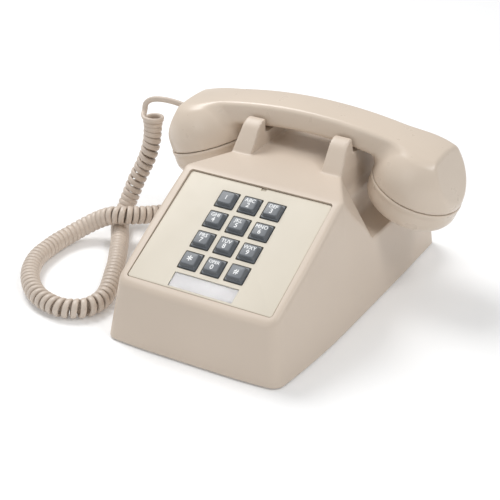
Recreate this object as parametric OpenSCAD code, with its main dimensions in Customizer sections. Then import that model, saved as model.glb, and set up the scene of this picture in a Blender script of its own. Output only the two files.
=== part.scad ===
// Corded desk telephone with a push-button dial, a cradle on top and a coiled handset cord.
// The front faces -Y, +Z is up, and the set is symmetric about X = 0.

/* [Housing] */
// Depth of the housing from its front edge to its rear edge
body_d = 236; // [230:1:244]
// Width of the housing at its front edge, on the table
front_w = 130; // [126:1:134]
// Width of the housing from the middle to the rear, on the table
rear_w = 141; // [138:1:146]
// Wall thickness of the housing
wall = 3; // [2.5:0.1:3]
// Height of the front face, up to the sloping top
front_h = 43.5; // [42:0.5:45]
// Height of the flat shoulder in front of the cradle
shoulder_h = 91.5; // [90:0.5:92]

/* [Dial] */
// Angle of the dial face above the horizontal
dial_slope = 27.2; // [26.5:0.1:28]
// Width of the faceplate
plate_w = 107.8; // [106:0.1:109]
// Length of the faceplate along the slope
plate_l = 92; // [90:0.5:93]
// Distance between the centres of neighbouring keys
key_pitch = 17.5; // [17:0.1:18]
// Width of a key where it passes through the faceplate
key_w = 12.7; // [12:0.1:13]
// Width of the top of a key
key_top = 10.2; // [9.5:0.1:11]
// Travel of a key
key_travel = 2.5; // [2:0.1:2.6]

/* [Cradle] */
// Outer half-width of the cradle, over the ears
cradle_x = 42.5; // [42:0.1:43]
// Width of one ear
ear_w = 15.5; // [14:0.5:16]
// Height of the top of the ears
ear_h = 112; // [110:0.5:113]
// Distance from the middle of the set to a cradle button
button_x = 35; // [34.5:0.1:35.5]
// Travel of the cradle buttons
button_travel = 5; // [4:0.5:5]

/* [Handset] */
// Distance from the middle of the set to the centre of a cap
cap_x = 80.8; // [80.6:0.1:81.5]
// Radius of a cap
cap_r = 32.4; // [31.5:0.1:32.4]
// Inward tilt of the caps
cap_tilt = 19.5; // [18:0.5:19.5]
// Width of the handle
handle_w = 31; // [29:0.5:32]

/* [Cord] */
// Outer diameter of the coiled cord
coil_d = 14; // [12:0.5:14]
// Thickness of the plain cord at its ends
cord_d = 3.4; // [3:0.1:3.6]

/* [Hidden] */
hand_x = 1.2;             // the handset rests a little to the right of the middle
hand_y = 49;              // the middle of the cradle and of the handset
notch_y0 = 10.5;          // front wall of the side recesses
notch_y1 = 87.5;          // rear wall of the side recesses
notch_z = 51;             // floor of the side recesses, at the side wall
ledge_z = 76.4;           // ledge half-way up the neck
neck_x = 45.2;              // half-width of the neck below the ledge
corner_r = 8;
floor_z = 1.5;            // lower edge of the housing, above the feet
sheet_z = 2.2;            // underside of the steel base plate
sheet_t = 1.5;
top_z = sheet_z + sheet_t;
hf = front_w / 2;
hr = rear_w / 2;
y0 = -body_d / 2;
y1 = body_d / 2;
plate_y = -105;           // lower edge of the faceplate
plate_z = 45.6;
plate_t = 2.4;
gap = 0.5;                // groove around the faceplate
seat_n = -plate_t;        // the surface that the faceplate lies on
key_v0 = 75.7;            // height of the first row of keys, along the slope
flange_n = -3.9;          // underside of a key's flange
frame_n = -9.5;           // top of the key frame
frame_t = 2;
board_n = -17;            // top of the key circuit board
board_t = 1.6;
saddle_z = 101;           // floor of the cradle between the ears
recess_y = 90;            // axis of the round hand hold
recess_z = 96;
recess_r = 20;
recess_w = 52;
ear_t = 5.9;              // thickness of an ear at its top
button_top = 101.8;       // top of a cradle button, pressed down by the handset
handle_top = 122;
handle_low = 105.3;       // underside of the handle at its middle
handle_arc = 350;         // radius of the handle's top
under_arc = 260;          // radius of the handle's underside
cap_z = 79.1;             // centre of the seam between a cap and its bell
cap_h = 19.5;
bell_base = 6;            // straight height of a bell, below its dome
end_x = 99.8;             // where the top of the handle turns down
end_slope = 69.5;          // angle of the sloping end below the horizontal
hand_jack = [-101, 98];   // mouth of the handset's jack, x and z
gong_x = [-31, 15];
gong_y = 58;
gong_r = 20;
beat_x = -8;              // the clapper swings midway between the gongs
pivot_y = 34;
lever_y = 76;             // axis of the cradle lever
lever_z = 62;
wheel_pos = [50, 44, 14.5];
jack_pos = [-61, 62, 14];
line_pos = [30, 109, 14];
screw_xy = [[57, -45], [-57, -45], [58, 96], [-58, 96]];
foot_xy = [[50, -94], [-50, -94], [50, 80], [-50, 80]];

// The coiled stretch of the handset cord, along its middle line.
coil_route = [
    [-130, 44, 87], [-130.5, 44, 78], [-131, 43, 68], [-133, 41, 57], [-137, 39, 46],
    [-141, 36, 36], [-144, 33, 26], [-146, 28, 16], [-146, 22, 9.4], [-143, 14, 7.3],
    [-138, 6, 7.1], [-131, -4, 7.1], [-124, -15, 7.1], [-117, -27, 7.1], [-110, -39, 7.1],
    [-104, -51, 7.1], [-98, -63, 7.1], [-93, -74, 7.1], [-90, -84, 7.1], [-90, -93, 7.1],
    [-93, -101, 7.1], [-99, -106, 7.1], [-108, -109, 7.1], [-118, -108, 7.1], [-128, -105, 7.1],
    [-138, -99, 7.1], [-147, -91, 7.1], [-155, -81, 7.1], [-161, -70, 7.1], [-165, -58, 7.1],
    [-166, -46, 7.1], [-166, -34, 7.3], [-164, -24, 8.1], [-160, -14, 10.4], [-154, -7, 14],
    [-146, -3, 18.4], [-138, -1, 21.6], [-130, 2, 22.2], [-123, 8, 21.6], [-117, 15, 20.4],
    [-112, 23, 19]];
// The plain cord from the handset plug to the coil, and from the coil to the set's plug.
upper_tail = [
    [-104.6, 49, 98], [-109, 48.8, 98.8], [-115.6, 48, 99.8], [-123, 46.4, 100.4],
    [-129.4, 45, 99.8], [-134, 44.2, 97.6], [-136.6, 44, 94.2], [-137, 44, 91.4],
    [-136.8, 44, 89.2]];
lower_tail = [
    [-112, 23, 19], [-109, 28, 18.2], [-105, 34, 17.4], [-100, 41, 16.6], [-95, 47, 15.8],
    [-90, 52.5, 15], [-85, 57, 14.4], [-80.5, 60.3, 14.1], [-76.5, 61.8, 14], [-71.9, 62, 14]];

KEY_NAMES = ["key_1", "key_2", "key_3", "key_4", "key_5", "key_6",
             "key_7", "key_8", "key_9", "key_star", "key_0", "key_hash"];

beige = [0.83, 0.77, 0.69];
beige_light = [0.88, 0.84, 0.77];
grey = [0.50, 0.52, 0.54];
steel = [0.72, 0.73, 0.75];
brass = [0.80, 0.66, 0.36];
black = [0.12, 0.12, 0.13];
board_green = [0.15, 0.42, 0.24];
clear = [0.85, 0.90, 0.92];

// Places its children on the dial face: x across, y up the slope, z out of the face.
module on_dial() {
    translate([0, plate_y, plate_z]) rotate([dial_slope, 0, 0]) children();
}

// A box given by its lowest and highest corners.
module box(lo, hi) {
    translate(lo) cube([hi[0] - lo[0], hi[1] - lo[1], hi[2] - lo[2]]);
}

module both_sides() {
    children();
    mirror([1, 0, 0]) children();
}

function key_uv(i) = [((i % 3) - 1) * key_pitch, key_v0 - floor(i / 3) * key_pitch];

// Sweeps a round section of diameter d along a route.
function unit(v) = v / norm(v);
function tangent(p, i) =
    unit(p[min(i + 1, len(p) - 1)] - p[max(i - 1, 0)]);
function side_of(t) =
    abs(t[2]) > 0.9 ? unit(cross(t, [0, 1, 0])) : unit(cross(t, [0, 0, 1]));
function frames(p, i = 0, last = undef, done = []) =
    i == len(p) ? done
    : let (t = tangent(p, i),
           s = is_undef(last) ? side_of(t) : unit(last - t * (last * t)))
      frames(p, i + 1, s, concat(done, [[t, s, cross(t, s)]]));
function ring(c, f, r, sides) =
    [for (k = [0 : sides - 1]) c + r * (cos(360 * k / sides) * f[1] + sin(360 * k / sides) * f[2])];

module sweep(route, d, sides) {
    f = frames(route);
    n = len(route);
    points = [for (i = [0 : n - 1]) each ring(route[i], f[i], d / 2, sides)];
    walls = [for (i = [0 : n - 2], k = [0 : sides - 1])
        [i * sides + k, i * sides + (k + 1) % sides,
         (i + 1) * sides + (k + 1) % sides, (i + 1) * sides + k]];
    polyhedron(points, concat([for (w = walls) [w[3], w[2], w[1], w[0]]],
                              [[for (k = [0 : sides - 1]) k]],
                              [[for (k = [sides - 1 : -1 : 0]) (n - 1) * sides + k]]));
}

// ---- Housing -------------------------------------------------------------

module post(x, y, r, g) {
    both_sides() translate([x - r - g, y, floor_z]) cylinder(r = r, h = 1, $fn = 24);
}

// The sloping front of the housing, up to the recesses; g shrinks it on every side.
module front_block(g) {
    hull() {
        post(hf, y0 + corner_r + g, corner_r, g);
        both_sides() box([0, notch_y0 - 1 - g, floor_z], [hr - 0.5 - g, notch_y0 - g, floor_z + 1]);
        both_sides() translate([59.5 - 3 - g, y0 + 5.5 + 3 + g, front_h - 3 - g]) sphere(r = 3, $fn = 20);
        both_sides() translate([61 - 3 - g, -20.5, 90.4 - 3 - g]) sphere(r = 3, $fn = 20);
        both_sides() box([0, notch_y0 - 1 - g, shoulder_h - 1 - g],
                         [cradle_x - g, notch_y0 - g, shoulder_h - g]);
        both_sides() box([0, notch_y0 - 1 - g, notch_z - 1], [68 - g, notch_y0 - g, notch_z]);
    }
}

// The low middle of the housing, under the caps of the handset.
module middle_block(g, reach) {
    hull() both_sides() {
        box([0, notch_y0 - reach, floor_z], [hr - 0.5 - g, notch_y1 + reach, floor_z + 1]);
        box([0, notch_y0 - reach, notch_z - 1 - g], [68 - g, notch_y1 + reach, notch_z - g]);
        box([0, notch_y0 - reach, notch_z - g], [neck_x - g, notch_y1 + reach, notch_z + 4 - g]);
    }
}

// The rear of the housing, sloping down behind the cradle.
module rear_block(g) {
    hull() {
        post(hr, y1 - corner_r - g, corner_r, g);
        both_sides() box([0, notch_y1 + g, floor_z], [hr - 0.5 - g, notch_y1 + 1 + g, floor_z + 1]);
        both_sides() translate([65 - 3 - g, y1 - 4 - 3 - g, 34 - 3 - g]) sphere(r = 3, $fn = 20);
        both_sides() box([0, notch_y1 + g, shoulder_h - 1 - 5 * g],
                         [cradle_x + 1.5 * g, notch_y1 + 1 + g, shoulder_h - 5 * g]);
        both_sides() box([0, notch_y1 + g, notch_z - 1], [68 - g, notch_y1 + 1 + g, notch_z]);
    }
}

// One side of the cradle: two ears and the floor between them.
module cradle_side() {
    inner = handle_w / 2 + 1;
    outer = inner + ear_t;
    translate([cradle_x - ear_w, hand_y, 0]) rotate([90, 0, 90]) linear_extrude(ear_w)
        polygon([[notch_y0 - hand_y - 0.5, shoulder_h - 3], [notch_y0 - hand_y, shoulder_h],
                 [-outer - 1.5, ear_h - 1.5], [-outer, ear_h], [-inner, ear_h], [-inner, saddle_z],
                 [inner, saddle_z], [inner, ear_h], [outer, ear_h], [outer + 1.5, ear_h - 1.5],
                 [notch_y1 - hand_y, shoulder_h], [notch_y1 - hand_y + 0.5, shoulder_h - 3]]);
}

module housing() {
    color(beige) difference() {
        union() {
            difference() {
                union() {
                    front_block(0);
                    middle_block(0, 1);
                    rear_block(0);
                    both_sides() box([0, notch_y0 - 0.5, 40], [neck_x, notch_y1 + 0.5, ledge_z]);
                    both_sides() box([0, notch_y0 - 0.5, 40], [cradle_x, notch_y1 + 0.5, shoulder_h]);
                }
                front_block(wall);
                middle_block(wall, 12);
                rear_block(wall);
                box([-neck_x + wall, -5, 40], [neck_x - wall, notch_y1 + 3.5, ledge_z - wall]);
                box([-cradle_x + wall, 0, 60], [cradle_x - wall, notch_y1 - 1, shoulder_h - wall]);
                box([-hf + 5, -100, 0], [hf - 5, 100, floor_z + 1]);
            }
            recess_pocket();
            both_sides() cradle_side();
            both_sides() translate([button_x, hand_y, ledge_z - 2.4])
                cylinder(d = 12.6, h = saddle_z - ledge_z, $fn = 48);
            dial_seat();
            for (p = screw_xy) boss(p);
            for (i = [0 : 3]) seat_boss(i);
        }
        finger_recess();
        on_dial() box([-plate_w / 2 - gap, -gap, seat_n],
                      [plate_w / 2 + gap, plate_l + gap, 12]);
        on_dial() box([-40, 6, -8], [40, plate_l - 5, 0]);
        both_sides() translate([button_x, hand_y, 60]) cylinder(d = 9.4, h = 60, $fn = 48);
        for (p = screw_xy) translate([p[0], p[1], 0]) cylinder(d = 3.4, h = 18, $fn = 32);
        for (i = [0 : 3]) on_dial() translate([seat_u(i), seat_v(i), -10])
            cylinder(d = 2.6, h = 7, $fn = 32);
        box([-80, jack_pos[1] - 7, jack_pos[2] - 7], [-60, jack_pos[1] + 7, jack_pos[2] + 7]);
        box([line_pos[0] - 9, 108, line_pos[2] - 9], [line_pos[0] + 9, 130, line_pos[2] + 9]);
    }
}

// The hand hold behind the cradle: a pocket wall, and the round hollow in it.
module recess_pocket() {
    translate([-recess_w / 2 - wall, 0, 0]) rotate([90, 0, 90])
        linear_extrude(recess_w + 2 * wall) intersection() {
            translate([recess_y, recess_z]) circle(r = recess_r + wall, $fn = 96);
            polygon([[hand_y + 12, 60], [hand_y + 12, shoulder_h - 0.5], [notch_y1, shoulder_h - 0.5],
                     [y1 - 5.4, 40], [y1 - 10, 36], [92, 60]]);
        }
}

module finger_recess() {
    translate([-recess_w / 2, recess_y, recess_z]) rotate([0, 90, 0])
        cylinder(r = recess_r, h = recess_w, $fn = 96);
}

// The ring under the faceplate, which carries it.
module dial_seat() {
    on_dial() difference() {
        box([-57, -4, -5], [57, 95.5, 0]);
        box([-40, 6, -6], [40, plate_l - 5, 2]);
    }
}

function seat_u(i) = (i % 2 == 0 ? -1 : 1) * 44;
function seat_v(i) = i < 2 ? 20 : 80;

module seat_boss(i) {
    on_dial() translate([seat_u(i), seat_v(i), -9.5]) cylinder(d = 7, h = 6, $fn = 32);
}

module boss(p) {
    s = sign(p[0]);
    rib = p[1] > 0 ? 9.3 : 6.5;
    difference() {
        union() {
            translate([p[0], p[1], top_z]) cylinder(d = 9, h = 40, $fn = 40);
            translate([p[0] + s * rib / 2, p[1], top_z + 20]) cube([rib, 2.4, 40], center = true);
        }
        translate([p[0] + s * 14.4, p[1], 10]) cube([16, 12, 24], center = true);
    }
}

// ---- Base ----------------------------------------------------------------

function corner(cx, cy, r, a0) =
    [for (k = [0 : 5]) [cx + r * cos(a0 + 18 * k), cy + r * sin(a0 + 18 * k)]];
function sheet_outline(wf, wr, d) = concat(
    corner(wr - 6, d - 6, 6, 0), corner(-wr + 6, d - 6, 6, 90),
    [[-wr, 0]], corner(-wf + 6, -d + 6, 6, 180), corner(wf - 6, -d + 6, 6, 270), [[wr, 0]]);

module base_plate() {
    color(steel) difference() {
        union() {
            translate([0, 0, sheet_z]) linear_extrude(sheet_t)
                polygon(sheet_outline(hf - 7, hr - 6, body_d / 2 - 7));
            for (p = board_posts) translate([p[0], p[1], top_z])
                cylinder(d = 6, h = 6.3, $fn = 32);
        }
        for (p = screw_xy) translate([p[0], p[1], 0]) cylinder(d = 4, h = 8, $fn = 32);
        for (p = foot_xy) translate([p[0], p[1], 0]) cylinder(d = 5, h = 8, $fn = 32);
        for (p = board_posts) translate([p[0], p[1], 5]) cylinder(d = 2.6, h = 8, $fn = 32);
        box([wheel_pos[0] - 3, wheel_pos[1] - 11, 0], [wheel_pos[0] + 3, wheel_pos[1] + 11, 8]);
    }
}

board_posts = [[40, -88], [-40, -88], [40, -14], [-40, -14]];

module feet() {
    color(black) for (p = foot_xy) translate([p[0], p[1], 0]) {
        cylinder(d = 16, h = sheet_z, $fn = 48);
        cylinder(d = 4.8, h = top_z + 1.2, $fn = 32);
    }
}

module screw(d, head_d, head_h, length) {
    difference() {
        union() {
            translate([0, 0, -head_h]) cylinder(d = head_d, h = head_h, $fn = 32);
            cylinder(d = d, h = length, $fn = 32);
        }
        translate([0, 0, -head_h]) cube([head_d * 0.8, 0.8, 1.2], center = true);
    }
}

module housing_screws() {
    color(steel) for (p = screw_xy) translate([p[0], p[1], sheet_z]) screw(3.2, 7, 1.6, 12);
}

module network_board() {
    color(board_green) difference() {
        box([-46, -94, 10], [46, -8, 11.6]);
        for (p = board_posts) translate([p[0], p[1], 9]) cylinder(d = 3.2, h = 4, $fn = 32);
    }
}

module board_screws() {
    color(steel) for (p = board_posts) translate([p[0], p[1], 11.6])
        mirror([0, 0, 1]) screw(2.4, 5, 1.6, 5);
}

module network_parts() {
    color(black) {
        box([-34, -60, 11.6], [-12, -38, 28]);
        for (x = [0, 13, 26]) translate([x, -46, 11.6]) cylinder(d = 10, h = 16, $fn = 40);
        for (x = [-30, -18]) box([x, -82, 11.6], [x + 8, -70, 16]);
        for (i = [0 : 5]) box([-6 + 7 * i, -24, 11.6], [-1 + 7 * i, -16, 20]);
    }
}

// A square modular socket block facing +Y, with its opening at y = 0.
module socket(w, h, depth, open_w, open_h) {
    difference() {
        box([-w / 2, -depth, -h / 2], [w / 2, 0, h / 2]);
        box([-open_w / 2, -depth + 3, -open_h / 2], [open_w / 2, 1, open_h / 2]);
        box([-1.8, -depth + 6, -open_h / 2 - 1.6], [1.8, 1, 0]);
    }
}

module handset_jack_base() {
    color(black) translate([-69.4, jack_pos[1], jack_pos[2]]) rotate([0, 0, 90])
        socket(12.6, 12.6, 17, 8, 7);
}

module line_jack() {
    color(black) translate([line_pos[0], y1 - 0.8, line_pos[2]]) socket(16, 14, 17, 11.8, 6.8);
}

// A modular plug with its cord end at y = 0 and its nose towards -Y.
module plug(w, h, length) {
    box([-w / 2, -length, -h / 2], [w / 2, 0, h / 2]);
    box([-1.4, -length + 3, -h / 2 - 1], [1.4, -1, -h / 2 + 0.2]);
}

module base_plug() {
    color(clear) translate([-72, jack_pos[1], jack_pos[2]]) rotate([0, 0, 90]) plug(7.6, 6.6, 13.5);
}

// ---- Dial ----------------------------------------------------------------

module faceplate() {
    color(beige_light) on_dial() difference() {
        box([-plate_w / 2, 0, -plate_t], [plate_w / 2, plate_l, 0]);
        for (i = [0 : 11]) translate([key_uv(i)[0], key_uv(i)[1], -2])
            cube([key_w + 0.8, key_w + 0.8, 8], center = true);
        box([-24.6, 1.6, -1.5], [25, 13, 1]);
        box([-1.5, plate_l - 2.6, -3], [1.5, plate_l + 1, 1]);
    }
}

module designation_card() {
    color("white") on_dial() box([-24.2, 2, -1.5], [24.6, 12.6, -1.1]);
}

module card_window() {
    color(clear, 0.5) on_dial() box([-24.4, 1.8, -1.1], [24.8, 12.8, -0.1]);
}

module key_frame() {
    color(black) on_dial() difference() {
        union() {
            box([-33, 12, frame_n - frame_t], [33, 87, frame_n]);
            for (i = [0 : 3]) translate([seat_u(i), seat_v(i), frame_n - frame_t])
                cylinder(d = 9, h = frame_t, $fn = 32);
            for (v = [20, 80]) box([-44, v - 3, frame_n - frame_t], [44, v + 3, frame_n]);
            box([-33, 12, board_n], [33, 14, frame_n]);
            box([-33, 85, board_n], [33, 87, frame_n]);
        }
        for (i = [0 : 11]) translate([key_uv(i)[0], key_uv(i)[1], -20])
            cylinder(d = 5.2, h = 20, $fn = 32);
        for (i = [0 : 3]) translate([seat_u(i), seat_v(i), -20]) cylinder(d = 3, h = 20, $fn = 32);
    }
}

module key_board() {
    color(board_green) on_dial() box([-33, 12, board_n - board_t], [33, 87, board_n]);
}

module key_contacts() {
    color(black) on_dial() for (i = [0 : 11])
        translate([key_uv(i)[0], key_uv(i)[1], board_n]) cylinder(d = 6, h = 0.6, $fn = 24);
}

// The key springs, drawn at the length that they have when every key is pressed.
module key_springs() {
    color(steel) on_dial() for (i = [0 : 11])
        translate([key_uv(i)[0], key_uv(i)[1], frame_n]) difference() {
            cylinder(d = 8.4, h = flange_n - key_travel - frame_n - 0.5, $fn = 24);
            translate([0, 0, -1]) cylinder(d = 6.4, h = 5, $fn = 24);
        }
}

module key_screws() {
    color(steel) on_dial() for (i = [0 : 3])
        translate([seat_u(i), seat_v(i), frame_n - frame_t]) screw(2.4, 5, 1.6, 7);
}

// One key: a tapered cap, its skirt, the flange that keeps it in, and the stem.
module key(i) {
    color(grey) on_dial() translate([key_uv(i)[0], key_uv(i)[1], 0]) {
        hull() {
            translate([0, 0, 0.8]) cube([key_w, key_w, 0.1], center = true);
            translate([0, 0, 3.05]) cube([key_top, key_top, 0.1], center = true);
        }
        box([-key_w / 2, -key_w / 2, flange_n], [key_w / 2, key_w / 2, 0.8]);
        box([-7.5, -7.5, flange_n], [7.5, 7.5, flange_n + 1]);
        translate([0, 0, -13.5]) cylinder(d = 4.4, h = 10, $fn = 32);
    }
}

// ---- Cradle switch -------------------------------------------------------

module cradle_button(side) {
    collar_z = ledge_z - wall - button_travel - 2.4;
    color(beige_light) translate([side * button_x, hand_y, collar_z]) {
        cylinder(d = 12, h = 2, $fn = 40);
        cylinder(d = 8.6, h = button_top - collar_z, $fn = 40);
    }
}

module cradle_lever() {
    color(steel) difference() {
        union() {
            both_sides() box([31, hand_y - 3.5, lever_z + 1.4], [39, lever_y, lever_z + 3]);
            box([-39, 52, lever_z + 1.4], [39, 57, lever_z + 3]);
            both_sides() translate([31, lever_y, lever_z]) rotate([0, 90, 0])
                cylinder(d = 7, h = 8, $fn = 40);
        }
        translate([-50, lever_y, lever_z]) rotate([0, 90, 0]) cylinder(d = 3.1, h = 100, $fn = 40);
    }
}

module lever_pin() {
    color(steel) translate([-41, lever_y, lever_z]) rotate([0, 90, 0])
        cylinder(d = 3, h = 82, $fn = 40);
}

module lever_bracket() {
    color(steel) difference() {
        union() {
            box([-28, 84, top_z + 1.5], [28, 85.5, lever_z + 4]);
            box([-28, 84, top_z], [28, 98, top_z + 1.5]);
            both_sides() box([26, 71, lever_z - 6], [28, 85.5, lever_z + 4]);
            box([-8, 50, 46], [8, 84, 47.5]);
        }
        translate([-50, lever_y, lever_z]) rotate([0, 90, 0]) cylinder(d = 3, h = 100, $fn = 40);
    }
}

module lever_spring() {
    color(steel) translate([0, 54.5, 47.5]) difference() {
        cylinder(d = 7, h = 15.4, $fn = 32);
        translate([0, 0, -1]) cylinder(d = 5.4, h = 20, $fn = 32);
    }
}

module hook_contacts() {
    color(black) {
        box([-12, 74, 47.5], [12, 83.9, 56]);
        for (x = [-8, 0, 8]) box([x - 2, 64, 50], [x + 2, 74, 50.6]);
    }
}

// ---- Ringer --------------------------------------------------------------

module ringer_frame() {
    color(steel) difference() {
        union() {
            box([gong_x[0] - 18, 2, top_z], [gong_x[1] + 18, 72, top_z + 1.6]);
            for (x = gong_x) translate([x, gong_y, top_z]) cylinder(d = 7, h = 19.6, $fn = 40);
            translate([beat_x, pivot_y, top_z]) cylinder(d = 2, h = 17, $fn = 32);
            for (s = [-1, 1]) box([beat_x + s * 12 - 1.5, 10, top_z], [beat_x + s * 12 + 1.5, 30.5, 20]);
        }
        for (x = gong_x) translate([x, gong_y, 12]) cylinder(d = 2.6, h = 20, $fn = 32);
    }
}

module gongs() {
    color(brass) for (x = gong_x) translate([x, gong_y, 0]) rotate_extrude($fn = 96)
        polygon([[1.6, 23.3], [8, 23.3], [14, 22.3], [17.4, 19.6], [18.6, 16], [18.6, 9],
                 [gong_r, 9], [gong_r, 16.6], [18.4, 21], [14.8, 23.9], [8.4, 24.9], [1.6, 24.9]]);
}

module gong_screws() {
    color(steel) for (x = gong_x) translate([x, gong_y, 24.9])
        mirror([0, 0, 1]) screw(2.4, 6, 1.8, 10);
}

module clapper() {
    color(steel) {
        difference() {
            union() {
                translate([beat_x, pivot_y, 9]) cylinder(d = 5, h = 9, $fn = 40);
                box([beat_x - 13, pivot_y - 0.8, 10], [beat_x + 13, pivot_y + 0.8, 18]);
            }
            translate([beat_x, pivot_y, 0]) cylinder(d = 2.1, h = 40, $fn = 40);
        }
        translate([beat_x, pivot_y + 1.8, 14]) rotate([-90, 0, 0])
            cylinder(d = 1.6, h = gong_y - pivot_y - 1.8, $fn = 24);
        translate([beat_x, gong_y, 14]) sphere(d = 3.6, $fn = 32);
    }
}

module ringer_coil() {
    color([0.62, 0.33, 0.14]) translate([beat_x - 10.2, 18, 13.5]) rotate([0, 90, 0])
        cylinder(d = 13, h = 20.4, $fn = 48);
}

module ringer_magnet() {
    color(black) box([beat_x - 10.2, 3, top_z + 1.6], [beat_x + 10.2, 9.6, 18]);
}

module volume_wheel() {
    color(black) translate([wheel_pos[0] - 2, wheel_pos[1], wheel_pos[2]]) rotate([0, 90, 0]) difference() {
        union() {
            cylinder(d = 26, h = 4, $fn = 64);
            translate([0, 0, -3]) cylinder(d = 8, h = 3, $fn = 40);
        }
        for (k = [0 : 23]) rotate([0, 0, 15 * k]) translate([13, 0, 2])
            cube([1.2, 1.2, 6], center = true);
        translate([0, 0, -10]) cylinder(d = 3.1, h = 20, $fn = 40);
    }
}

module wheel_bracket() {
    p = wheel_pos;
    color(steel) {
        box([p[0] - 7, p[1] - 10, top_z], [p[0] - 5.4, p[1] + 10, p[2] + 6]);
        box([p[0] - 12, p[1] - 10, top_z], [p[0] - 7, p[1] + 10, top_z + 1.6]);
        translate([p[0] - 6, p[1], p[2]]) rotate([0, 90, 0]) cylinder(d = 3, h = 9, $fn = 40);
    }
}

// ---- Handset -------------------------------------------------------------

// Places its children on a cap: origin at the centre of the seam, z up along the bell.
module at_cap(side) {
    translate([hand_x + side * cap_x, hand_y, cap_z]) rotate([0, side * cap_tilt, 0]) children();
}

function handle_z(x) = handle_top - handle_arc + sqrt(handle_arc * handle_arc - x * x);
function under_z(x) = handle_low - under_arc + sqrt(under_arc * under_arc - x * x);

// The limits of the whole handset, seen from the front: the curved top and the sloping ends.
drop = 32;                // how far down a sloping end reaches
limit_x = end_x + drop / tan(end_slope);
handset_limits = concat(
    [for (k = [-7 : 7]) [k * end_x / 7, handle_z(k * end_x / 7)]],
    [[limit_x, handle_z(end_x) - drop], [limit_x, 50], [-limit_x, 50],
     [-limit_x, handle_z(end_x) - drop]]);

// The bar between the bells, seen from the front.
handle_outline = concat(
    [[-end_x - 4, 96], [-end_x - 4, 130], [end_x + 4, 130], [end_x + 4, 96], [62, 88], [54, 97.5]],
    [for (x = [48 : -12 : -48]) [x, under_z(x)]],
    [[-54, 97.5], [-62, 88]]);

bell_profile = concat(
    [[0, 0], [cap_r, 0]],
    [for (a = [0 : 10 : 80]) [cap_r * cos(a), bell_base + cap_r * sin(a)]],
    [[0, bell_base + cap_r]]);

// An outline in X and Z, made w thick about the middle of the handset.
module upright(w) {
    translate([hand_x, hand_y + w / 2, 0]) rotate([90, 0, 0]) linear_extrude(w) children();
}

module handset_shell() {
    color(beige) difference() {
        intersection() {
            union() {
                upright(handle_w) polygon(handle_outline);
                for (s = [-1, 1]) at_cap(s) rotate_extrude($fn = 96) polygon(bell_profile);
            }
            upright(80) polygon(handset_limits);
        }
        for (s = [-1, 1]) at_cap(s) translate([0, 0, -1]) cylinder(r = cap_r - 3.4, h = 16, $fn = 96);
        translate([hand_x, hand_y, 0]) {
            box([-70, -5, 107.5], [70, 5, 112.2]);
            for (s = [-1, 1]) box([s * 67 - 6, -5, 90], [s * 67 + 6, 5, 112.2]);
            box([-120, -6.3, hand_jack[1] - 5.4], [hand_jack[0] + 16.2, 6.3, hand_jack[1] + 5.4]);
            box([-96, -5, 88], [hand_jack[0] + 16.2, 5, 98]);
        }
    }
}

module cap_cup(hole_rings) {
    difference() {
        rotate_extrude($fn = 96) polygon([
            [0, -cap_h], [cap_r - 7.2, -cap_h], [cap_r - 3.6, -cap_h + 2], [cap_r - 1.4, -cap_h + 6.4],
            [cap_r, -cap_h + 12], [cap_r, -0.4], [cap_r - 2.6, -0.4], [cap_r - 3.4, -cap_h + 9],
            [cap_r - 6, -cap_h + 3.6], [cap_r - 9, -cap_h + 3], [0, -cap_h + 3]]);
        for (r = hole_rings, k = [0 : max(1, r) - 1]) rotate([0, 0, 360 * k / max(1, r)])
            translate([r * 0.9, 0, -cap_h - 1]) cylinder(d = 2, h = 6, $fn = 20);
    }
}

module ear_cap() {
    color(beige) at_cap(1) cap_cup([0, 6]);
}

module mouth_cap() {
    color(beige) at_cap(-1) cap_cup([0, 6, 12]);
}

module receiver_unit() {
    color(black) at_cap(1) {
        translate([0, 0, -cap_h + 3.4]) cylinder(d = 46, h = 12, $fn = 64);
        translate([0, 0, -cap_h + 15.4]) cylinder(d = 30, h = 6, $fn = 64);
    }
}

module transmitter_unit() {
    color(steel) at_cap(-1) translate([0, 0, -cap_h + 3.4]) cylinder(d = 46, h = 12.4, $fn = 64);
}

module contact_cup() {
    color(black) at_cap(-1) difference() {
        translate([0, 0, -3.4]) cylinder(d = 50, h = 10, $fn = 64);
        translate([0, 0, -4]) cylinder(d = 47, h = 8.6, $fn = 64);
        translate([-16, 0, 5]) cube([14, 14, 6], center = true);
    }
}

module handset_jack() {
    color(black) translate([hand_x + hand_jack[0], hand_y, hand_jack[1]]) rotate([0, 0, 90])
        socket(12.4, 10.4, 16, 8, 7);
}

module handset_plug() {
    color(clear) translate([hand_x + hand_jack[0] - 4.8, hand_y, hand_jack[1]]) rotate([0, 0, 90])
        plug(7.6, 6.6, 14);
}

// ---- Cord ----------------------------------------------------------------

module cord_coil() {
    color(beige) sweep(coil_route, coil_d, 10);
}

module cord_tail_upper() {
    color(beige) sweep(upper_tail, cord_d, 8);
}

module cord_tail_lower() {
    color(beige) sweep(lower_tail, cord_d, 8);
}

housing();
base_plate();
feet();
housing_screws();
faceplate();
designation_card();
card_window();
key_frame();
key_board();
key_contacts();
key_springs();
key_screws();
for (i = [0 : 11]) key(i);
cradle_button(-1);  // cradle_button_left
cradle_button(1);  // cradle_button_right
cradle_lever();
lever_pin();
lever_bracket();
lever_spring();
hook_contacts();
ringer_frame();
gongs();
gong_screws();
clapper();
ringer_coil();
ringer_magnet();
volume_wheel();
wheel_bracket();
network_board();
network_parts();
board_screws();
handset_jack_base();
line_jack();
handset_shell();
ear_cap();
mouth_cap();
receiver_unit();
transmitter_unit();
contact_cup();
handset_jack();
handset_plug();
base_plug();
cord_coil();
cord_tail_upper();
cord_tail_lower();
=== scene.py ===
"""The looks of the corded desk phone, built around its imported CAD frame."""
import math

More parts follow.
